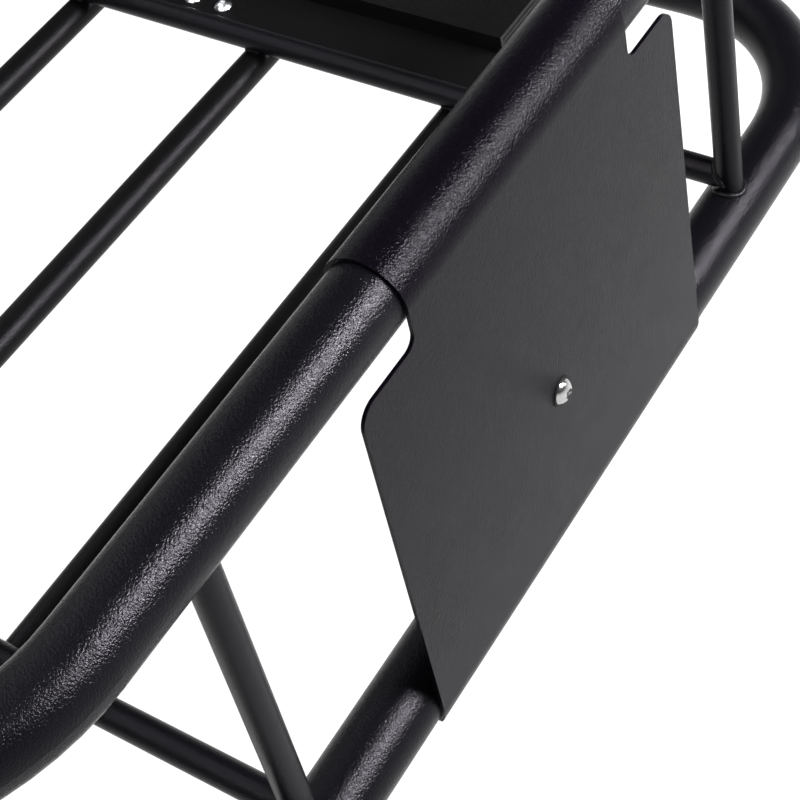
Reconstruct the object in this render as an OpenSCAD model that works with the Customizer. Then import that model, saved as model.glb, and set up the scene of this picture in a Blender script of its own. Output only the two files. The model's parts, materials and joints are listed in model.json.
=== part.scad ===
// Folding luggage rack for a vehicle's hitch receiver.
// A two-part basket of bent steel tube stands on a square support tube,
// which folds up about a bolt between two cheeks at the end of the hitch shank.
// The frame: origin at the centre of the shank's hitch-pin hole, +X towards
// the vehicle, +Y along the rack, +Z up.

/* [Basket] */
// Width of the basket, rail centre to rail centre
rack_w = 594; // [560:2:620]
// Length of the basket, rail centre to rail centre
rack_l = 1510; // [1480:1:1520]
// Height of the wall, rail centre to rail centre
wall_h = 183; // [160:1:210]
// Corner radius at the rails' centre line
corner_r = 85; // [60:1:110]
// Radius of the top rail's tube
top_r = 14; // [12:0.5:14]
// Radius of the bottom rail's tube
bottom_r = 14; // [12:0.5:14]
// Wall thickness of the rails
rail_wall = 1.5; // [1:0.1:2]
// Radius of the wall posts
post_r = 6; // [5:0.5:7]
// Wall thickness of the posts
post_wall = 1.2; // [1:0.1:1.5]

/* [Floor] */
// Radius of the long rods that lie on the slats
rod_r = 6; // [5:0.5:7]
// Distance from the rack's middle to a long rod
rod_x = 166; // [140:1:175]
// Radius of the floor slats
slat_r = 7.7; // [6:0.1:9]
// Height of the slats above the bottom rail's centre
slat_lift = 6; // [0:0.1:8]
// Wall thickness of the slats
slat_wall = 1.2; // [1:0.1:1.5]
// Distance from the end rail to the first slat
slat_first = 141; // [120:1:150]
// Distance from slat to slat
slat_pitch = 114; // [100:1:115]
// Number of slats in each half of the basket
slat_count = 6; // [5:1:6]
// Thickness of the deck panels
deck_t = 2; // [1.5:0.5:3]

/* [End plate] */
// Width of an end plate
plate_w = 205; // [180:1:260]
// Width of the tab that wraps over the top rail
tab_w = 141; // [100:1:160]
// Thickness of the end plates
plate_t = 1.5; // [1:0.5:2]
// Height of the plate's shoulder below the top rail's centre
shoulder = 15; // [10:1:30]
// Height of the plate's screw below the top rail's centre
screw_drop = 116; // [90:1:140]

/* [Fold and hitch] */
// Side of the square hitch shank
shank_s = 50.8; // [50:0.1:51]
// Side of the square support tube
tube_s = 50; // [48:0.1:50]
// Wall thickness of the shank and the support tube
tube_wall = 4; // [3:0.5:5]
// Distance from the hitch-pin hole to the fold bolt
pin_to_fold = 270; // [240:5:320]
// Distance from the fold bolt to the basket's middle
fold_to_rack = 345; // [342:1:360]
// Radius of the hitch-pin hole
hitch_hole_r = 8.15; // [8:0.05:8.5]
// Radius of the fold bolt and the lock pin
bolt_r = 6.35; // [6:0.05:6.5]
// Thickness of the hinge cheeks
cheek_t = 6; // [5:1:8]
// Distance from the fold bolt to the lock holes
lock_x = 28; // [26:1:30]

/* [Hidden] */
$fn = 64;

eps = 0.01;
hw = rack_w / 2;
hl = rack_l / 2;
slat_z = -wall_h + slat_lift;
slat_top = slat_z + slat_r;
rod_z = slat_top + rod_r;
side_post_ys = [-hl + 150, -hl + 388, -hl + 624];

// Plate: it lies 0.1 mm off the rails
plate_ri = bottom_r + 0.1;
plate_ro = plate_ri + plate_t;
plate_corner = 8;
tab_fillet = 5;
curl_angle = 62;
tab_under = 14;
foot_corner = 6;

// M6 screws and bolts
m6_r = 3;
m6_hole_r = 3.3;
insert_r = 4;

// Joint between the two halves
sleeve_l = 160;
joint_bolt_y = 65;

// Saddles and their M8 bolts
tube_top = -wall_h - bottom_r - 1;
saddle_t = slat_z - slat_r - tube_top;
saddle_w = 64;
saddle_l = 120;
m8_r = 4;
m8_hole_r = 4.3;
saddle_bolt_x = 20;
saddle_bolt_y = slat_y(slat_count - 1);

// Deck panels
deck_x0 = 204;
deck_x1 = hw - bottom_r - 6;
deck_y0 = -hl + 135;
deck_y1 = -10;
deck_rise = 2 * rod_r - deck_t;
deck_flange_x = rod_x + rod_r + 3;
deck_screw_slats = [2, 4];
deck_pair_slats = [1, 3];
deck_screw_x = 185;
deck_pair_dys = [33, 52];
deck_bead_r = 4;
deck_notch_x = rod_x + saddle_bolt_x + 10;
deck_notch_y = saddle_bolt_y - 12;
m5_r = 2.5;
m5_hole_r = 2.7;

// Fold hinge, measured from the fold bolt
fold_z = -tube_top + tube_s / 2;
tube_past = 20;
tube_tail = fold_to_rack + rod_x + 40;
shank_start = 35;
shank_past = 62;
stop_gap = 0.4;
stop_t = 6;
park = [-58, -39];
lock_hole_r = bolt_r + 0.08;
cheek_y = shank_s / 2;
washer_t = 2.5;

// Lock pin and its ring, measured along the pin
pin_collar = cheek_y + cheek_t + 0.5;
pin_end = cheek_y + cheek_t + 9;
tang_y = -pin_collar - 22;
tang_hole_r = 3;
ring_r = 14;
ring_wire = 1.6;

// Colours
coat = [0.06, 0.06, 0.065];
sheet = [0.2, 0.19, 0.2];
zinc = [0.7, 0.71, 0.72];
plastic = [0.03, 0.03, 0.03];

module to_basket() {
    translate([-pin_to_fold - fold_to_rack, 0, fold_z]) children();
}

module to_fold() {
    translate([-pin_to_fold, 0, 0]) children();
}

module half_b() {
    mirror([0, 1, 0]) children();
}

module both_halves() {
    children();
    half_b() children();
}

module both_sides() {
    children();
    mirror([1, 0, 0]) children();
}

module tube(r, wall, h) {
    difference() {
        cylinder(r = r, h = h);
        translate([0, 0, -1]) cylinder(r = r - wall, h = h + 2);
    }
}

module along_x(x0) {
    translate([x0, 0, 0]) rotate([0, 90, 0]) children();
}

module along_y(y0) {
    translate([0, y0, 0]) rotate([-90, 0, 0]) children();
}

module box_tube(s, wall, len) {
    linear_extrude(len) difference() {
        square(s, center = true);
        square(s - 2 * wall, center = true);
    }
}

module rounded_square(w, h, r) {
    square([w - 2 * r, h], center = true);
    square([w, h - 2 * r], center = true);
    for (x = [-1, 1], y = [-1, 1])
        translate([x * (w / 2 - r), y * (h / 2 - r)]) circle(r);
}

module hex_head(af, h) {
    cylinder(d = af / cos(30), h = h, $fn = 6);
}

// Button head with a hexagon socket; its seat is at z = 0
module button_head(r, h, socket) {
    ball = (r * r + h * h) / (2 * h);
    difference() {
        intersection() {
            translate([0, 0, h - ball]) sphere(ball);
            cylinder(r = r, h = h + 1);
        }
        translate([0, 0, h * 0.35]) cylinder(d = socket / cos(30), h = h, $fn = 6);
    }
}

// ---- rails and posts, in the basket's own frame: z = 0 at the top rail ----

module rail_bolt_holes(z) {
    for (x = [-hw, hw])
        translate([x - 30, -joint_bolt_y, z]) rotate([0, 90, 0]) cylinder(r = m6_hole_r, h = 60);
}

module u_rail(r, z) {
    side = hl - corner_r;
    difference() {
        translate([0, 0, z]) union() {
            translate([0, -hl, 0]) along_x(-(hw - corner_r)) tube(r, rail_wall, 2 * (hw - corner_r));
            for (turn = [[1, -90], [-1, 180]])
                translate([turn[0] * (hw - corner_r), -side, 0]) rotate([0, 0, turn[1]])
                    rotate_extrude(angle = 90) translate([corner_r, 0]) difference() {
                        circle(r);
                        circle(r - rail_wall);
                    }
            for (x = [-hw, hw]) translate([x, 0, 0]) along_y(-side) tube(r, rail_wall, side);
        }
        rail_bolt_holes(z);
    }
}

// The straight stretches of both rails as solid bars, to cope the ends of what meets them
module end_rail_cutters() {
    for (rz = [[top_r, 0], [bottom_r, -wall_h]])
        translate([0, -hl, rz[1]]) along_x(-hw) cylinder(r = rz[0], h = 2 * hw);
}

module side_rail_cutters() {
    for (rz = [[top_r, 0], [bottom_r, -wall_h]], x = [-hw, hw])
        translate([x, 0, rz[1]]) along_y(-hl) cylinder(r = rz[0], h = 2 * hl);
}

module post(x, y) {
    translate([x, y, -wall_h]) tube(post_r, post_wall, wall_h);
}

module end_posts() {
    difference() {
        for (x = [-rod_x, 0, rod_x]) post(x, -hl);
        end_rail_cutters();
        translate([0, -hl, -screw_drop]) along_y(-post_r - 1) cylinder(r = insert_r + 0.05, h = post_r + 1);
    }
}

module side_posts() {
    difference() {
        for (x = [-hw, hw], y = side_post_ys) post(x, y);
        side_rail_cutters();
    }
}

module rail_sleeves(r, z) {
    difference() {
        for (x = [-hw, hw])
            translate([x, 0, z]) along_y(-sleeve_l / 2) tube(r - rail_wall - 0.1, rail_wall, sleeve_l);
        rail_bolt_holes(z);
        half_b() rail_bolt_holes(z);
    }
}

// Each bolt has its head outside the basket and its nut inside
module each_rail_bolt() {
    for (rz = [[top_r, 0], [bottom_r, -wall_h]], y = [-joint_bolt_y, joint_bolt_y])
        both_sides() translate([hw + rz[0], y, rz[1]]) rotate([0, -90, 0])
            union() { $grip = 2 * rz[0]; children(); }
}

module rail_bolt() {
    translate([0, 0, -4]) hex_head(10, 4);
    cylinder(r = m6_r, h = $grip + 8);
}

module rail_nut() {
    translate([0, 0, $grip]) difference() {
        hex_head(10, 5);
        translate([0, 0, -1]) cylinder(r = m6_r, h = 7);
    }
}

// ---- floor ----

module long_rod(side) {
    difference() {
        translate([side * rod_x, 0, rod_z]) along_y(-hl) tube(rod_r, post_wall, hl);
        end_rail_cutters();
        translate([side * rod_x, -hl, -wall_h]) cylinder(r = post_r + 0.02, h = wall_h);
    }
}

function slat_y(i) = -hl + slat_first + i * slat_pitch;

module slats() {
    difference() {
        for (i = [0 : slat_count - 1])
            translate([0, slat_y(i), slat_z]) along_x(-hw) tube(slat_r, slat_wall, 2 * hw);
        side_rail_cutters();
        saddle_bolt_holes();
        deck_screw_holes();
    }
}

// Screws into two slats, and pairs for accessories between them
module each_deck_screw() {
    for (i = deck_screw_slats) translate([deck_screw_x, slat_y(i), slat_top]) children();
    for (i = deck_pair_slats, dy = deck_pair_dys)
        translate([deck_screw_x, slat_y(i) + dy, slat_top]) children();
}

module deck_screw_holes() {
    each_deck_screw() translate([0, 0, -4]) cylinder(r = m5_hole_r, h = 12);
}

// The panel's section: a screw flange beside the long rod, then a raised channel level with the rods
module deck_profile() {
    polygon([
        [deck_flange_x, 0], [deck_x0 + deck_t, 0], [deck_x0 + deck_t, deck_rise],
        [deck_x1 - deck_t, deck_rise], [deck_x1 - deck_t, 0], [deck_x1, 0],
        [deck_x1, deck_rise + deck_t], [deck_x0, deck_rise + deck_t],
        [deck_x0, deck_t], [deck_flange_x, deck_t]
    ]);
}

module deck_panel() {
    difference() {
        union() {
            translate([0, deck_y1, slat_top]) rotate([90, 0, 0])
                linear_extrude(deck_y1 - deck_y0) deck_profile();
            translate([0, deck_y0 + deck_bead_r, slat_top + deck_rise + deck_t - deck_bead_r])
                along_x(deck_x0) cylinder(r = deck_bead_r, h = deck_x1 - deck_x0);
        }
        deck_screw_holes();
        // notch round the saddle bolt's head
        translate([deck_flange_x - 1, deck_notch_y, slat_top - 1])
            cube([deck_notch_x - deck_flange_x + 1, deck_y1 - deck_notch_y + 1, deck_t + 2]);
    }
}

module deck_screw_set() {
    each_deck_screw() translate([0, 0, deck_t]) {
        button_head(4.5, 2.6, 3);
        translate([0, 0, -5]) cylinder(r = m5_r, h = 5 + eps);
    }
}

// ---- end plate ----

module corner_cut(r) {
    difference() {
        square(r + 1);
        circle(r);
    }
}

// The sheet seen from the end of the rail, y outwards to the left: it wraps over the
// top rail, drops straight down and curls under the bottom rail
module plate_profile() {
    reach = 3 * plate_ro;
    difference() {
        circle(plate_ro);
        circle(plate_ri);
        polygon([[0, 0], [-reach, 0], [-reach, -reach], [reach, -reach], [reach, -reach * tan(tab_under)]]);
    }
    translate([-plate_ro, -wall_h]) square([plate_t, wall_h]);
    translate([0, -wall_h]) intersection() {
        difference() {
            circle(plate_ro);
            circle(plate_ri);
        }
        polygon([[0, 0], [-reach, 0], [-reach, -reach], [-reach / tan(curl_angle), -reach]]);
    }
}

// The sheet's outline seen from outside, with y = 0 at the top rail's centre
module plate_outline() {
    low = wall_h + plate_ro;
    difference() {
        union() {
            translate([-tab_w / 2, -shoulder]) square([tab_w, shoulder + plate_ro + 1]);
            translate([-plate_w / 2, -low]) square([plate_w, low - shoulder]);
            translate([-tab_w / 2 - tab_fillet, -shoulder]) square([tab_w + 2 * tab_fillet, tab_fillet]);
        }
        for (s = [-1, 1]) {
            translate([s * (tab_w / 2 + tab_fillet), -shoulder + tab_fillet]) circle(tab_fillet);
            scale([s, 1]) translate([plate_w / 2 - plate_corner, -shoulder - plate_corner])
                corner_cut(plate_corner);
            scale([s, 1])
                translate([plate_w / 2 - foot_corner, -wall_h - plate_ro * sin(curl_angle) + foot_corner])
                rotate(-90) corner_cut(foot_corner);
        }
        translate([0, -screw_drop]) circle(m6_hole_r);
    }
}

module end_plate() {
    translate([0, -hl, 0]) intersection() {
        rotate([90, 0, 90]) linear_extrude(plate_w + 2, center = true) plate_profile();
        rotate([90, 0, 0]) linear_extrude(4 * plate_ro, center = true) plate_outline();
    }
}

module plate_screw() {
    translate([0, -hl - plate_ro, -screw_drop]) rotate([90, 0, 0]) {
        button_head(5.25, 3.3, 4);
        translate([0, 0, -19]) cylinder(r = m6_r, h = 19 + eps);
    }
}

module plate_spacer() {
    translate([0, -hl, -screw_drop]) difference() {
        along_y(-plate_ri) cylinder(r = 7, h = plate_ri - post_r - 1);
        along_y(-plate_ri - 1) cylinder(r = m6_hole_r, h = plate_ri);
    }
}

// Threaded insert in the middle post
module plate_insert() {
    translate([0, -hl, -screw_drop]) difference() {
        union() {
            along_y(-post_r - 1) cylinder(r = 6, h = 1);
            along_y(-post_r) cylinder(r = insert_r, h = 9);
        }
        along_y(-post_r - 2) cylinder(r = m6_r + 0.05, h = 12);
    }
}

// ---- support tube and its saddles ----

module each_saddle_bolt() {
    for (side = [-1, 1], dx = [-saddle_bolt_x, saddle_bolt_x], dy = [-saddle_bolt_y, saddle_bolt_y])
        translate([side * rod_x + dx, dy, 0]) children();
}

module saddle_bolt_holes() {
    each_saddle_bolt() translate([0, 0, tube_top - 1]) cylinder(r = m8_hole_r, h = slat_top - tube_top + 2);
}

module saddle_plate(side) {
    difference() {
        translate([side * rod_x, 0, tube_top])
            linear_extrude(saddle_t) rounded_square(saddle_w, saddle_l, 6);
        saddle_bolt_holes();
    }
}

module saddle_bolt() {
    translate([0, 0, slat_top]) {
        cylinder(r = 8, h = 1.6);
        translate([0, 0, 1.6]) hex_head(13, 5.3);
    }
    translate([0, 0, tube_top - 12]) cylinder(r = m8_r, h = slat_top - tube_top + 12 + eps);
}

module saddle_nut() {
    translate([0, 0, tube_top - 8]) difference() {
        hex_head(13, 8);
        translate([0, 0, -1]) cylinder(r = m8_r, h = 10);
    }
}

// From here the frame's origin is the fold bolt's centre

module support_tube_shape() {
    difference() {
        along_x(-tube_tail) box_tube(tube_s, tube_wall, tube_tail + tube_past);
        along_y(-tube_s) cylinder(r = bolt_r + 3, h = 2 * tube_s);
        translate([-lock_x, 0, 0]) along_y(-tube_s) cylinder(r = lock_hole_r, h = 2 * tube_s);
    }
}

module tube_plug(s) {
    linear_extrude(4) rounded_square(s, s, 4);
    inner = s - 2 * tube_wall - 0.6;
    translate([0, 0, 4 - eps]) linear_extrude(16 + eps) rounded_square(inner, inner, 3);
}

module pivot_sleeve_shape() {
    difference() {
        along_y(-tube_s / 2) cylinder(r = bolt_r + 3, h = tube_s);
        along_y(-tube_s) cylinder(r = bolt_r + 0.07, h = 2 * tube_s);
    }
}

// ---- hinge cheeks and shank ----

module cheek_outline() {
    difference() {
        union() {
            circle(40);
            translate([-42, -16]) rounded_square(84, 68, 10);
            translate([62, 0]) rounded_square(126, 54, 8);
            polygon([[-20, -50], [20, -34], [60, -27], [60, 0], [-20, 0]]);
        }
        circle(bolt_r + 0.05);
        for (p = [[-lock_x, 0], [0, lock_x], park]) translate(p) circle(lock_hole_r);
    }
}

module cheek() {
    translate([0, -cheek_y, 0]) rotate([90, 0, 0]) linear_extrude(cheek_t) cheek_outline();
}

module stop_plate_shape() {
    translate([-76, -cheek_y, -tube_s / 2 - stop_gap - stop_t]) cube([38, 2 * cheek_y, stop_t]);
}

module pivot_bolt_shape() {
    seat = cheek_y + cheek_t + washer_t;
    translate([0, -seat, 0]) rotate([90, 0, 0]) hex_head(19, 8);
    along_y(-seat - eps) cylinder(r = bolt_r, h = 2 * seat + 17);
}

module pivot_washer() {
    along_y(-cheek_y - cheek_t - washer_t) difference() {
        cylinder(r = 13, h = washer_t);
        translate([0, 0, -1]) cylinder(r = bolt_r, h = washer_t + 2);
    }
}

module pivot_nut_shape() {
    along_y(cheek_y + cheek_t + washer_t) difference() {
        hex_head(19, 12);
        translate([0, 0, -1]) cylinder(r = bolt_r, h = 14);
    }
}

module shank_shape() {
    difference() {
        along_x(-pin_to_fold + shank_start)
            box_tube(shank_s, tube_wall, pin_to_fold - shank_start + shank_past);
        along_y(-shank_s) cylinder(r = hitch_hole_r, h = 2 * shank_s);
    }
}

// ---- lock pin, drawn with its axis on y ----

module lock_pin_shape() {
    difference() {
        union() {
            along_y(-pin_collar - 1) cylinder(r = bolt_r, h = pin_collar + pin_end - 3);
            along_y(pin_end - 4 - eps) cylinder(r1 = bolt_r, r2 = bolt_r - 2, h = 4);
            along_y(-pin_collar - 6) cylinder(r = 11, h = 6);
            along_y(-pin_collar - 14) cylinder(r = 8, h = 8 + eps);
            translate([-2, tang_y - 6, -6]) cube([4, 16, 12]);
        }
        translate([0, tang_y, 0]) along_x(-10) cylinder(r = tang_hole_r, h = 20);
    }
}

module lock_pin_ring_shape() {
    translate([0, tang_y, -ring_r]) rotate([90, 0, 0])
        rotate_extrude() translate([ring_r, 0]) circle(ring_wire);
}

module top_rail_a() { color(coat) to_basket() u_rail(top_r, 0); }
module top_rail_b() { color(coat) to_basket() half_b() u_rail(top_r, 0); }
module bottom_rail_a() { color(coat) to_basket() u_rail(bottom_r, -wall_h); }
module bottom_rail_b() { color(coat) to_basket() half_b() u_rail(bottom_r, -wall_h); }
module end_posts_a() { color(coat) to_basket() end_posts(); }
module end_posts_b() { color(coat) to_basket() half_b() end_posts(); }
module side_posts_a() { color(coat) to_basket() side_posts(); }
module side_posts_b() { color(coat) to_basket() half_b() side_posts(); }
module rod_left_a() { color(coat) to_basket() long_rod(-1); }
module rod_left_b() { color(coat) to_basket() half_b() long_rod(-1); }
module rod_right_a() { color(coat) to_basket() long_rod(1); }
module rod_right_b() { color(coat) to_basket() half_b() long_rod(1); }
module slats_a() { color(coat) to_basket() slats(); }
module slats_b() { color(coat) to_basket() half_b() slats(); }
module deck_panel_a() { color(sheet) to_basket() deck_panel(); }
module deck_panel_b() { color(sheet) to_basket() half_b() deck_panel(); }
module deck_screws() { color(zinc) to_basket() both_halves() deck_screw_set(); }
module end_plate_a() { color(sheet) to_basket() end_plate(); }
module end_plate_b() { color(sheet) to_basket() half_b() end_plate(); }
module plate_screws() { color(zinc) to_basket() both_halves() plate_screw(); }
module plate_spacers() { color(zinc) to_basket() both_halves() plate_spacer(); }
module plate_inserts() { color(zinc) to_basket() both_halves() plate_insert(); }
module rail_sleeves_top() { color(zinc) to_basket() rail_sleeves(top_r, 0); }
module rail_sleeves_bottom() { color(zinc) to_basket() rail_sleeves(bottom_r, -wall_h); }
module rail_bolts() { color(zinc) to_basket() each_rail_bolt() rail_bolt(); }
module rail_nuts() { color(zinc) to_basket() each_rail_bolt() rail_nut(); }
module saddle_plate_left() { color(coat) to_basket() saddle_plate(-1); }
module saddle_plate_right() { color(coat) to_basket() saddle_plate(1); }
module saddle_bolts() { color(zinc) to_basket() each_saddle_bolt() saddle_bolt(); }
module saddle_nuts() { color(zinc) to_basket() each_saddle_bolt() saddle_nut(); }
module support_tube() { color(coat) to_fold() support_tube_shape(); }
module support_end_cap() { color(plastic) to_fold() along_x(-tube_tail - 4) tube_plug(tube_s); }
module pivot_sleeve() { color(zinc) to_fold() pivot_sleeve_shape(); }
module hinge_cheek_a() { color(coat) to_fold() cheek(); }
module hinge_cheek_b() { color(coat) to_fold() half_b() cheek(); }
module stop_plate() { color(coat) to_fold() stop_plate_shape(); }
module pivot_bolt() { color(zinc) to_fold() pivot_bolt_shape(); }
module pivot_washers() { color(zinc) to_fold() both_halves() pivot_washer(); }
module pivot_nut() { color(zinc) to_fold() pivot_nut_shape(); }
module shank() { color(coat) shank_shape(); }
module shank_end_cap() {
    color(plastic) translate([shank_past + 4, 0, 0]) rotate([0, -90, 0]) tube_plug(shank_s);
}
module lock_pin() { color(zinc) to_fold() translate([park[0], 0, park[1]]) lock_pin_shape(); }
module lock_pin_ring() { color(zinc) to_fold() translate([park[0], 0, park[1]]) lock_pin_ring_shape(); }

top_rail_a();
top_rail_b();
bottom_rail_a();
bottom_rail_b();
end_posts_a();
end_posts_b();
side_posts_a();
side_posts_b();
rod_left_a();
rod_left_b();
rod_right_a();
rod_right_b();
slats_a();
slats_b();
deck_panel_a();
deck_panel_b();
deck_screws();
end_plate_a();
end_plate_b();
plate_screws();
plate_spacers();
plate_inserts();
rail_sleeves_top();
rail_sleeves_bottom();
rail_bolts();
rail_nuts();
saddle_plate_left();
saddle_plate_right();
saddle_bolts();
saddle_nuts();
support_tube();
support_end_cap();
pivot_sleeve();
hinge_cheek_a();
hinge_cheek_b();
stop_plate();
pivot_bolt();
pivot_washers();
pivot_nut();
shank();
shank_end_cap();
lock_pin();
lock_pin_ring();
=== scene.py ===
import json
import math
import random

import bmesh
import bpy
from mathutils import Matrix, Vector


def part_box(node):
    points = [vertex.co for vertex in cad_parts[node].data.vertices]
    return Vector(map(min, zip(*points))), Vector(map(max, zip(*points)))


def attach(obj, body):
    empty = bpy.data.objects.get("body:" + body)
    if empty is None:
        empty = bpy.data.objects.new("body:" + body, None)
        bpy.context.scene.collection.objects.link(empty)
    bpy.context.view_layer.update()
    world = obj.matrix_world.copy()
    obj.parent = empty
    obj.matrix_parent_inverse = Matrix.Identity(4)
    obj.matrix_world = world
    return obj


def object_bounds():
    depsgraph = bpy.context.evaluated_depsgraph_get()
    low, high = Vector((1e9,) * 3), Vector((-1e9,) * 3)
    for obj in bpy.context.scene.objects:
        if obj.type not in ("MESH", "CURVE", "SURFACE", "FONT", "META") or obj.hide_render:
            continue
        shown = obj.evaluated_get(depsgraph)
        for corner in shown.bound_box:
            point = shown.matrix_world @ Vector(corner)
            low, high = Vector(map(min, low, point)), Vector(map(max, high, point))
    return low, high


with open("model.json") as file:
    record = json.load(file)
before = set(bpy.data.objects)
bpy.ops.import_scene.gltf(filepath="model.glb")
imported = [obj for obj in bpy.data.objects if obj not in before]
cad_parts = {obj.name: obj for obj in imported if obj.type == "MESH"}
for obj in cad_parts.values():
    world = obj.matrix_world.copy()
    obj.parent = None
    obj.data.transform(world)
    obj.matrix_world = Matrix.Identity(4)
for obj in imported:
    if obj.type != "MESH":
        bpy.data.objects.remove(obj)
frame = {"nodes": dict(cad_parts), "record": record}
cad_low, cad_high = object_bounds()
MM = 0.001

# ---- measures taken from the frame ----

SAME_POINT_DIGITS = 5


def span(node, axis):
    """Size of a CAD node along one axis."""
    low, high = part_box(node)
    return high[axis] - low[axis]


def islands(node):
    """Boxes of the separate solids of a CAD node, as (low, high) corners."""
    mesh = frame["nodes"][node].data
    key_of = [tuple(round(c, SAME_POINT_DIGITS) for c in v.co) for v in mesh.vertices]
    parent = {key: key for key in key_of}

    def root(key):
        while parent[key] != key:
            parent[key] = parent[parent[key]]
            key = parent[key]
        return key

    for edge in mesh.edges:
        a, b = (root(key_of[i]) for i in edge.vertices)
        parent[a] = b
    groups = {}
    for key in parent:
        groups.setdefault(root(key), []).append(key)
    boxes = []
    for points in groups.values():
        low = Vector([min(p[i] for p in points) for i in range(3)])
        high = Vector([max(p[i] for p in points) for i in range(3)])
        boxes.append((low, high))
    return sorted(boxes, key=lambda b: tuple(b[0]))


top_low, top_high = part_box("top_rail_a")
bottom_low, bottom_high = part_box("bottom_rail_a")
TOP_R = span("top_rail_a", 2) / 2
BOTTOM_R = span("bottom_rail_a", 2) / 2
MID_X = (top_low.x + top_high.x) / 2
TOP_Z = (top_low.z + top_high.z) / 2
BOTTOM_Z = (bottom_low.z + bottom_high.z) / 2
HALF_W = top_high.x - TOP_R - MID_X
END_Y = -(top_low.y + TOP_R)
POST_R = span("side_posts_a", 0) / 2 - HALF_W
NEAR_RAIL_MIDDLE = Vector((MID_X, -END_Y, TOP_Z))

# ---- camera, from the middle of the near top rail ----

EYE_FROM_RAIL = Vector((-0.3738, -0.2894, 0.4341))
HEADING = math.radians(48.28)
PITCH = math.radians(-44.66)
ROLL = math.radians(13.49)
LENS = 88.7
SENSOR_WIDTH = 36
SHIFT_Y = -0.2
CLIP_START = 0.01
CLIP_END = 50


def make_camera():
    data = bpy.data.cameras.new("camera")
    data.lens = LENS
    data.sensor_width = SENSOR_WIDTH
    data.shift_y = SHIFT_Y
    data.clip_start = CLIP_START
    data.clip_end = CLIP_END
    camera = bpy.data.objects.new("camera", data)
    bpy.context.collection.objects.link(camera)
    forward = Vector((
        math.sin(HEADING) * math.cos(PITCH),
        math.cos(HEADING) * math.cos(PITCH),
        math.sin(PITCH),
    ))
    level = forward.cross(Vector((0, 0, 1))).normalized()
    up = level.cross(forward)
    right = level * math.cos(ROLL) - up * math.sin(ROLL)
    up = right.cross(forward)
    turn = Matrix((right, up, -forward)).transposed()
    eye = NEAR_RAIL_MIDDLE + EYE_FROM_RAIL
    camera.matrix_world = Matrix.Translation(eye) @ turn.to_4x4()
    bpy.context.scene.camera = camera


# ---- materials; noise scales are in waves per metre ----

GRAIN_SIZE = 0.68 * MM
GRAIN_DEPTH = 0.32 * MM
PEEL_SIZE = 5 * GRAIN_SIZE
PEEL_DEPTH = 0.12 * MM
PEEL_STRENGTH = 0.15
SCRATCH_DEPTH = 0.03 * MM
PLASTIC_GRAIN_DEPTH = 0.05 * MM
RAMP_AT = (0.3, 0.7)


def rgba(r, g, b):
    return (r, g, b, 1.0)


class Nodes:
    """Shorthand for building the node tree of a material."""

    def __init__(self, name):
        self.material = bpy.data.materials.new(name)
        self.material.use_nodes = True
        self.tree = self.material.node_tree
        self.shader = self.tree.nodes["Principled BSDF"]
        self.coords = self.add("ShaderNodeTexCoord").outputs["Object"]

    def add(self, kind):
        return self.tree.nodes.new(kind)

    def link(self, source, target):
        self.tree.links.new(source, target)

    def set(self, **values):
        for key, value in values.items():
            self.shader.inputs[key.replace("_", " ")].default_value = value

    def noise(self, scale, detail, rough=0.5):
        node = self.add("ShaderNodeTexNoise")
        node.inputs["Scale"].default_value = scale
        node.inputs["Detail"].default_value = detail
        node.inputs["Roughness"].default_value = rough
        self.link(self.coords, node.inputs["Vector"])
        return node.outputs["Fac"]

    def ramp(self, source, low, high):
        """Maps a 0 to 1 value onto colours or numbers between low and high."""
        node = self.add("ShaderNodeValToRGB")
        for element, spot, value in zip(node.color_ramp.elements, RAMP_AT, (low, high)):
            element.position = spot
            element.color = value if isinstance(value, tuple) else (value, value, value, 1)
        self.link(source, node.inputs["Fac"])
        return node.outputs["Color"]

    def bumps(self, *layers):
        """Each layer is (height, strength, depth); later layers lie on earlier ones."""
        normal = None
        for height, strength, depth in layers:
            node = self.add("ShaderNodeBump")
            node.inputs["Strength"].default_value = strength
            node.inputs["Distance"].default_value = depth
            self.link(height, node.inputs["Height"])
            if normal is not None:
                self.link(normal, node.inputs["Normal"])
            normal = node.outputs["Normal"]
        self.link(normal, self.shader.inputs["Normal"])

    def colour(self, socket):
        self.link(socket, self.shader.inputs["Base Color"])

    def roughness(self, socket):
        self.link(socket, self.shader.inputs["Roughness"])


def powder_coat(name, dark, light, rough=(0.2, 0.27), grain=0.8, shine=0.085):
    """Baked powder paint: a fine hammered grain that breaks up the highlight."""
    n = Nodes(name)
    n.set(IOR=1.5, Specular_IOR_Level=shine, Specular_Tint=rgba(0.95, 0.9, 1))
    cloud = n.noise(scale=9, detail=3)
    n.colour(n.ramp(cloud, dark, light))
    n.roughness(n.ramp(n.noise(scale=70, detail=3), *rough))
    fine = n.noise(1 / GRAIN_SIZE, detail=1.5, rough=0.6)
    peel = n.noise(1 / PEEL_SIZE, detail=2)
    n.bumps((peel, PEEL_STRENGTH, PEEL_DEPTH), (fine, grain, GRAIN_DEPTH))
    return n.material


def metal(name, tint, rough, scratch=0.25, dirt=0.75):
    """Plated or polished steel with fine tool marks and a little grime."""
    n = Nodes(name)
    n.set(Metallic=1.0)
    worn = tuple(c * dirt for c in tint[:3]) + (1.0,)
    n.colour(n.ramp(n.noise(scale=220, detail=4, rough=0.6), worn, tint))
    n.roughness(n.ramp(n.noise(scale=400, detail=3), *rough))
    marks = n.noise(scale=900, detail=3, rough=0.6)
    n.bumps((marks, scratch, SCRATCH_DEPTH))
    return n.material


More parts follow.
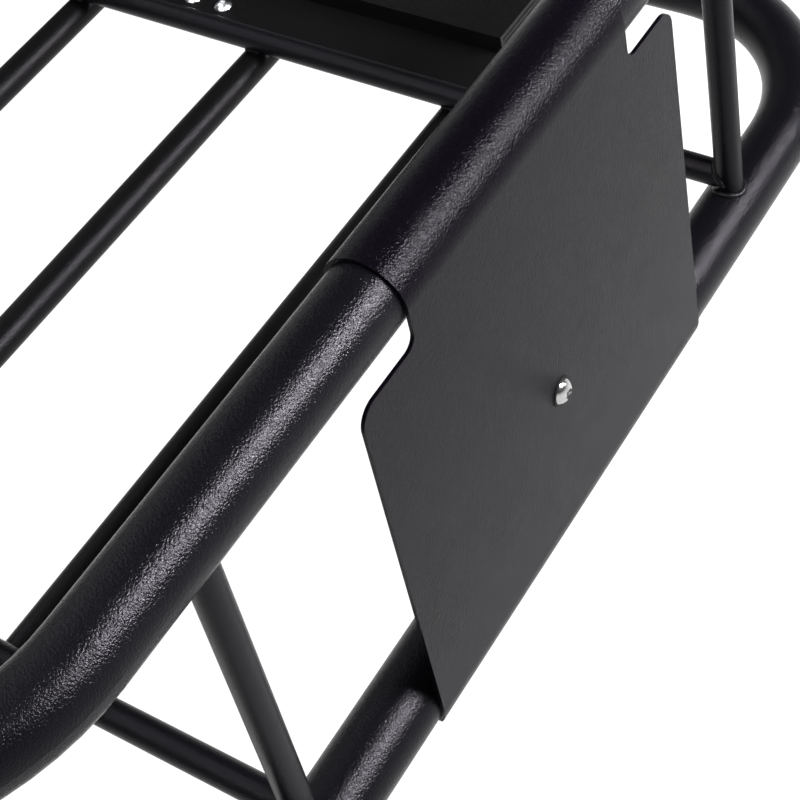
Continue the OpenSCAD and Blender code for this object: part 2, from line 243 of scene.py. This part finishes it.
def moulded_plastic(name):
    """Matt black plastic, a little uneven in tone."""
    n = Nodes(name)
    n.set(IOR=1.46, Specular_IOR_Level=0.1)
    cloud = n.noise(scale=30, detail=3)
    n.colour(n.ramp(cloud, rgba(0.0012, 0.0012, 0.0013), rgba(0.0026, 0.0026, 0.0027)))
    n.roughness(n.ramp(n.noise(scale=120, detail=3), 0.45, 0.6))
    n.bumps((n.noise(scale=2400, detail=2), 0.3, PLASTIC_GRAIN_DEPTH))
    return n.material


def dress(nodes, material):
    """Gives the CAD nodes one better material in place of their own."""
    for name in nodes:
        mesh = frame["nodes"][name].data
        mesh.materials.clear()
        mesh.materials.append(material)


def dress_frame():
    """Makes the materials, dresses every CAD node and returns those of the added pieces."""
    basket_coat = powder_coat(
        "basket_coat", rgba(0.0012, 0.0011, 0.0016), rgba(0.002, 0.0019, 0.0026))
    slat_coat = powder_coat(
        "slat_coat", rgba(0.0014, 0.0014, 0.0015), rgba(0.0022, 0.0022, 0.0023),
        rough=(0.3, 0.38), grain=0.6)
    hitch_coat = powder_coat(
        "hitch_coat", rgba(0.002, 0.002, 0.0021), rgba(0.003, 0.003, 0.0032))
    plate_coat = powder_coat(
        "plate_coat", rgba(0.0008, 0.0006, 0.0012), rgba(0.0013, 0.001, 0.0018),
        rough=(0.18, 0.24), grain=0.95, shine=0.044)
    weld = powder_coat(
        "weld_coat", rgba(0.002, 0.002, 0.0022), rgba(0.003, 0.003, 0.0033), grain=0.6)
    zinc = metal("zinc_plate", rgba(0.62, 0.63, 0.65), (0.22, 0.4), dirt=0.6)
    stainless = metal("stainless", rgba(0.5, 0.5, 0.5), (0.09, 0.2), scratch=0.15)
    plastic = moulded_plastic("moulded_plastic")
    slots = {
        "coat_basket": basket_coat, "coat_hitch": hitch_coat, "sheet_steel": plate_coat,
        "zinc_steel": zinc, "stainless": stainless, "plastic": plastic,
    }
    for part in frame["record"]["subparts"]:
        dress([part["node"]], slots[part["material_slot"]])
    dress([n for n in frame["nodes"] if n.startswith("slat")], slat_coat)
    dress(["deck_panel_a", "deck_panel_b"], hitch_coat)
    return {"weld": weld, "plastic": plastic}


# ---- pieces built from rings of vertices ----


def bridge(bm, ring_a, ring_b):
    """Joins two rings, starting each from the vertex nearest the other's first."""
    n = len(ring_a)
    shift = min(range(n), key=lambda k: (ring_b[k].co - ring_a[0].co).length)
    turned = ring_b[shift:] + ring_b[:shift]
    flipped = [turned[0]] + turned[:0:-1]
    if (flipped[1].co - ring_a[1].co).length < (turned[1].co - ring_a[1].co).length:
        turned = flipped
    for k in range(n):
        m = (k + 1) % n
        bm.faces.new((ring_a[k], ring_a[m], turned[m], turned[k]))


def closed_mesh(bm, name):
    """Turns a bmesh into a mesh with its faces outward."""
    bmesh.ops.recalc_face_normals(bm, faces=bm.faces)
    mesh = bpy.data.meshes.new(name)
    bm.to_mesh(mesh)
    bm.free()
    return mesh


def place(name, mesh, material, body):
    """Adds a mesh to the scene as a piece that rides on a body."""
    piece = bpy.data.objects.new(name, mesh)
    bpy.context.collection.objects.link(piece)
    mesh.materials.append(material)
    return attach(piece, body)


# ---- weld beads ----

BEAD_STEP = 0.6 * MM
BEAD_SIDES = 8
RING_STEPS_MIN = 24
POST_BEAD_R = 1.7 * MM
SLAT_BEAD_R = 1.5 * MM
ROD_BEAD_R = 1.5 * MM
ROD_FILLET_OFFSET = 2.6 * MM
ROD_FILLET_HALF = 4.2 * MM
SADDLE_BEAD_R = 2.2 * MM
SADDLE_BEAD_INSET = 4 * MM
SHANK_BEAD_R = 1.9 * MM
SHANK_BEAD_START = 3 * MM
SHANK_BEAD_END = 4 * MM
CHEEK_END_BEAD_R = 2.4 * MM
CHEEK_END_BEAD_INSET = 3 * MM
STOP_BEAD_R = 1.8 * MM
STOP_BEAD_INSET = 2 * MM
STOP_BEAD_SINK = 0.4 * MM

RIPPLE_PITCH = 1.5 * MM
RIPPLE_PHASE_MAX = 6.28
RIPPLE_LOW = 0.84
RIPPLE_RISE = 0.16
UNEVENNESS = 0.03
TIP_SCALE = 0.3
SADDLE_SEED = 21
HITCH_SEED = 22


def bead_mesh(paths, seed):
    """One mesh of rippled beads; each path is (points, radius, closed)."""
    chance = random.Random(seed)
    bm = bmesh.new()
    for points, radius, closed in paths:
        count = len(points)
        rings = []
        phase = chance.uniform(0, RIPPLE_PHASE_MAX)
        travelled = 0.0
        for i, point in enumerate(points):
            after = points[(i + 1) % count] if closed or i + 1 < count else point
            before = points[i - 1] if closed or i else point
            travelled += (point - before).length if i else 0
            along = (after - before).normalized()
            side = along.orthogonal().normalized()
            other = along.cross(side)
            ripple = abs(math.sin(phase + travelled * math.pi / RIPPLE_PITCH))
            uneven = chance.uniform(-UNEVENNESS, UNEVENNESS)
            r = radius * (RIPPLE_LOW + RIPPLE_RISE * ripple + uneven)
            if not closed and i in (0, count - 1):
                r *= TIP_SCALE
            rings.append([
                bm.verts.new(point + (side * math.cos(a) + other * math.sin(a)) * r)
                for a in (2 * math.pi * k / BEAD_SIDES for k in range(BEAD_SIDES))
            ])
        for i in range(count if closed else count - 1):
            bridge(bm, rings[i], rings[(i + 1) % count])
        if not closed:
            bm.faces.new(list(reversed(rings[0])))
            bm.faces.new(rings[-1])
    mesh = closed_mesh(bm, "bead")
    for polygon in mesh.polygons:
        polygon.use_smooth = True
    return mesh


def ring_angles(radius):
    """Angles round a circle, about one bead step apart."""
    count = max(RING_STEPS_MIN, int(2 * math.pi * radius / BEAD_STEP))
    return [2 * math.pi * i / count for i in range(count)]


def line(start, end, radius):
    """A straight, open bead path."""
    steps = max(2, int((end - start).length / BEAD_STEP))
    return ([start.lerp(end, i / steps) for i in range(steps + 1)], radius, False)


def post_beads(node, along):
    """Saddle-shaped beads where posts meet the rails; along is the rails' axis."""
    across = 1 - along
    paths = []
    for low, high in islands(node):
        centre = (low + high) / 2
        radius = (high[0] - low[0]) / 2
        rail = -END_Y if node.endswith("_a") else END_Y
        if along == 1:
            rail = MID_X + math.copysign(HALF_W, centre.x - MID_X)
        for z, r, sense in ((TOP_Z, TOP_R, -1), (BOTTOM_Z, BOTTOM_R, 1)):
            points = []
            for a in ring_angles(radius):
                x = centre.x + radius * math.cos(a)
                y = centre.y + radius * math.sin(a)
                p = Vector((x, y, 0))
                off = p[across] - rail
                p.z = z + sense * math.sqrt(r * r - off * off)
                points.append(p)
            paths.append((points, POST_BEAD_R, True))
    return paths


def slat_beads(node):
    """Saddle-shaped beads where the slats meet the side rails."""
    paths = []
    for low, high in islands(node):
        y, z = (low.y + high.y) / 2, (low.z + high.z) / 2
        radius = (high.z - low.z) / 2
        for side in (-1, 1):
            points = []
            for a in ring_angles(radius):
                p = Vector((0, y + radius * math.cos(a), z + radius * math.sin(a)))
                off = p.z - BOTTOM_Z
                reach = HALF_W - math.sqrt(max(BOTTOM_R ** 2 - off ** 2, 0))
                p.x = MID_X + side * reach
                points.append(p)
            paths.append((points, SLAT_BEAD_R, True))
    return paths


def rod_beads(node, slats):
    """Short fillets on both sides of a long rod on every slat, and a bead round its end."""
    low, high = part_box(node)
    x, z = (low.x + high.x) / 2, (low.z + high.z) / 2
    radius = (high.x - low.x) / 2
    paths = []
    for slat_low, slat_high in islands(slats):
        middle = (slat_low.y + slat_high.y) / 2
        for side in (-1, 1):
            edge = Vector((x + side * ROD_FILLET_OFFSET, middle, z - radius))
            half = Vector((0, ROD_FILLET_HALF, 0))
            paths.append(line(edge - half, edge + half, ROD_BEAD_R))
    end = END_Y if node.endswith("_b") else -END_Y
    inward = -math.copysign(1, end)
    points = []
    for a in ring_angles(radius):
        off = radius * math.cos(a)
        y = end + inward * math.sqrt(max(POST_R ** 2 - off ** 2, 0))
        points.append(Vector((x + radius * math.cos(a), y, z + radius * math.sin(a))))
    paths.append((points, ROD_BEAD_R, True))
    return paths


def saddle_beads(node):
    """Fillets between a saddle plate and the support tube's upper corners."""
    low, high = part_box(node)
    tube_low, tube_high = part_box("support_tube")
    start_x, end_x = low.x + SADDLE_BEAD_INSET, high.x - SADDLE_BEAD_INSET
    return [
        line(Vector((start_x, y, low.z)), Vector((end_x, y, low.z)), SADDLE_BEAD_R)
        for y in (tube_low.y, tube_high.y)
    ]


def hitch_beads():
    """Fillets of the hinge cheeks on the shank and of the stop plate between the cheeks."""
    shank_low, shank_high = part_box("shank")
    stop_low, stop_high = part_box("stop_plate")
    cheek_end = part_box("hinge_cheek_a")[1].x
    paths = []
    for y in (shank_low.y, shank_high.y):
        for z in (shank_low.z, shank_high.z):
            start = Vector((shank_low.x + SHANK_BEAD_START, y, z))
            end = Vector((cheek_end - SHANK_BEAD_END, y, z))
            paths.append(line(start, end, SHANK_BEAD_R))
        start = Vector((cheek_end, y, shank_low.z + CHEEK_END_BEAD_INSET))
        end = Vector((cheek_end, y, shank_high.z - CHEEK_END_BEAD_INSET))
        paths.append(line(start, end, CHEEK_END_BEAD_R))
        inner = math.copysign(abs(y) - STOP_BEAD_SINK, y)
        start = Vector((stop_low.x + STOP_BEAD_INSET, inner, stop_low.z))
        end = Vector((stop_high.x - STOP_BEAD_INSET, inner, stop_low.z))
        paths.append(line(start, end, STOP_BEAD_R))
    return paths


def make_welds(material):
    seed = 0
    for half in ("a", "b"):
        groups = {
            "welds_end_posts_" + half: post_beads("end_posts_" + half, 0),
            "welds_side_posts_" + half: post_beads("side_posts_" + half, 1),
            "welds_slats_" + half: slat_beads("slats_" + half),
            "welds_rods_" + half:
                rod_beads("rod_left_" + half, "slats_" + half)
                + rod_beads("rod_right_" + half, "slats_" + half),
        }
        for name, paths in groups.items():
            seed += 1
            place(name, bead_mesh(paths, seed), material, "basket")
    saddles = saddle_beads("saddle_plate_left") + saddle_beads("saddle_plate_right")
    place("welds_saddles", bead_mesh(saddles, SADDLE_SEED), material, "basket")
    place("welds_hitch", bead_mesh(hitch_beads(), HITCH_SEED), material, "hitch_frame")


# ---- dark washers under the plates' screws: painted contact shade ----

SCREW_HEAD_H = 3.3 * MM
SHADE_WASHER_BORE_SHARE = 0.6
SHADE_WASHER_MARGIN = 0.9 * MM
SHADE_WASHER_THICK = 0.8 * MM
SHADE_WASHER_CHAMFER = 0.3 * MM
SHADE_WASHER_STEPS = 64


def make_shade_washers(material):
    """A thin black washer with a bevelled rim between each plate and its screw's head, put
    there as painted contact shade round the head.
    """
    screws = sorted(islands("plate_screws"), key=lambda b: b[0].y)
    for half, (low, high) in zip(("a", "b"), screws):
        outward = -1 if half == "a" else 1
        head_r = (high.x - low.x) / 2
        face = (low.y if half == "a" else high.y) - outward * SCREW_HEAD_H
        rim, bore = head_r + SHADE_WASHER_MARGIN, head_r * SHADE_WASHER_BORE_SHARE
        profile = [
            (bore, 0),
            (bore, SHADE_WASHER_THICK),
            (rim - SHADE_WASHER_CHAMFER, SHADE_WASHER_THICK),
            (rim, SHADE_WASHER_THICK - SHADE_WASHER_CHAMFER),
            (rim, 0),
        ]
        bm = bmesh.new()
        rings = []
        for i in range(SHADE_WASHER_STEPS):
            a = 2 * math.pi * i / SHADE_WASHER_STEPS
            rings.append([
                bm.verts.new((
                    (low.x + high.x) / 2 + r * math.cos(a),
                    face + outward * h,
                    (low.z + high.z) / 2 + r * math.sin(a),
                )) for r, h in profile
            ])
        for i in range(SHADE_WASHER_STEPS):
            bridge(bm, rings[i], rings[(i + 1) % SHADE_WASHER_STEPS])
        # The black disc is painted shade under the screw head, not a real washer.
        place("screw_shade_washer_" + half, closed_mesh(bm, "washer"), material, "basket")


# ---- studio ----

FLOOR_SIZE = 14
FLOOR_DROP = 0.5 * MM
HORIZON_TOP = 0.06
DIM_FROM = 0.3
HORIZON_LIGHT = (1.0, 1.0, 1.0, 1)
OVERHEAD_LIGHT = (0.09, 0.09, 0.095, 1)


def make_floor():
    spot = (MID_X, 0, cad_low.z - FLOOR_DROP)
    bpy.ops.mesh.primitive_plane_add(size=FLOOR_SIZE, location=spot)
    floor = bpy.context.object
    floor.name = "floor"
    n = Nodes("floor_paper")
    cloud = n.noise(scale=3, detail=2)
    n.colour(n.ramp(cloud, rgba(0.06, 0.06, 0.06), rgba(0.08, 0.08, 0.08)))
    n.set(Roughness=0.9, Emission_Color=rgba(1, 1, 1), Emission_Strength=1.0)
    floor.data.materials.append(n.material)


def softbox(name, from_rail, size, power, aim=Vector((0, 0, 0)), turn=0.0):
    """An area light; its place and its aim are measured from the near top rail's middle."""
    data = bpy.data.lights.new(name, "AREA")
    data.shape = "RECTANGLE"
    data.size, data.size_y = size
    data.energy = power
    lamp = bpy.data.objects.new(name, data)
    bpy.context.collection.objects.link(lamp)
    place_at = NEAR_RAIL_MIDDLE + Vector(from_rail)
    toward = NEAR_RAIL_MIDDLE + aim - place_at
    lamp.rotation_mode = "QUATERNION"
    spin = Matrix.Rotation(math.radians(turn), 4, "Z").to_quaternion()
    lamp.rotation_quaternion = toward.to_track_quat("-Z", "Y") @ spin
    lamp.location = place_at


def make_world():
    """Bright round the horizon, dim overhead."""
    world = bpy.data.worlds.new("studio")
    bpy.context.scene.world = world
    world.use_nodes = True
    tree = world.node_tree
    sky = tree.nodes["Background"]
    coords = tree.nodes.new("ShaderNodeTexCoord")
    split = tree.nodes.new("ShaderNodeSeparateXYZ")
    ramp = tree.nodes.new("ShaderNodeValToRGB")
    low, high = ramp.color_ramp.elements
    low.position, low.color = HORIZON_TOP, HORIZON_LIGHT
    high.position, high.color = DIM_FROM, OVERHEAD_LIGHT
    tree.links.new(coords.outputs["Generated"], split.inputs["Vector"])
    tree.links.new(split.outputs["Z"], ramp.inputs["Fac"])
    tree.links.new(ramp.outputs["Color"], sky.inputs["Color"])
    sky.inputs["Strength"].default_value = 1.0


def make_studio():
    bpy.context.scene.view_settings.view_transform = "Standard"
    make_world()
    make_floor()
    softbox("key", (0.46, -0.84, 0.66), size=(0.11, 0.95), power=86, turn=45)
    softbox("glint", (-0.75, -0.6, 1.1), size=(0.2, 0.2), power=1)
    middle = Vector((0, END_Y, -0.1))
    softbox("top_fill", (-0.3, 0.9, 1.8), size=(1.2, 1.2), power=14, aim=middle)
    softbox("left_fill", (-1.5, 0.5, 1.6), size=(2.2, 1.0), power=60, aim=middle)
    softbox("back_fill", (0.3, 2.4, 1.7), size=(1.4, 1.0), power=15, aim=middle)


make_camera()
make_studio()
materials = dress_frame()
make_welds(materials["weld"])
# Black discs under the screw heads: painted contact shade.
make_shade_washers(materials["plastic"])
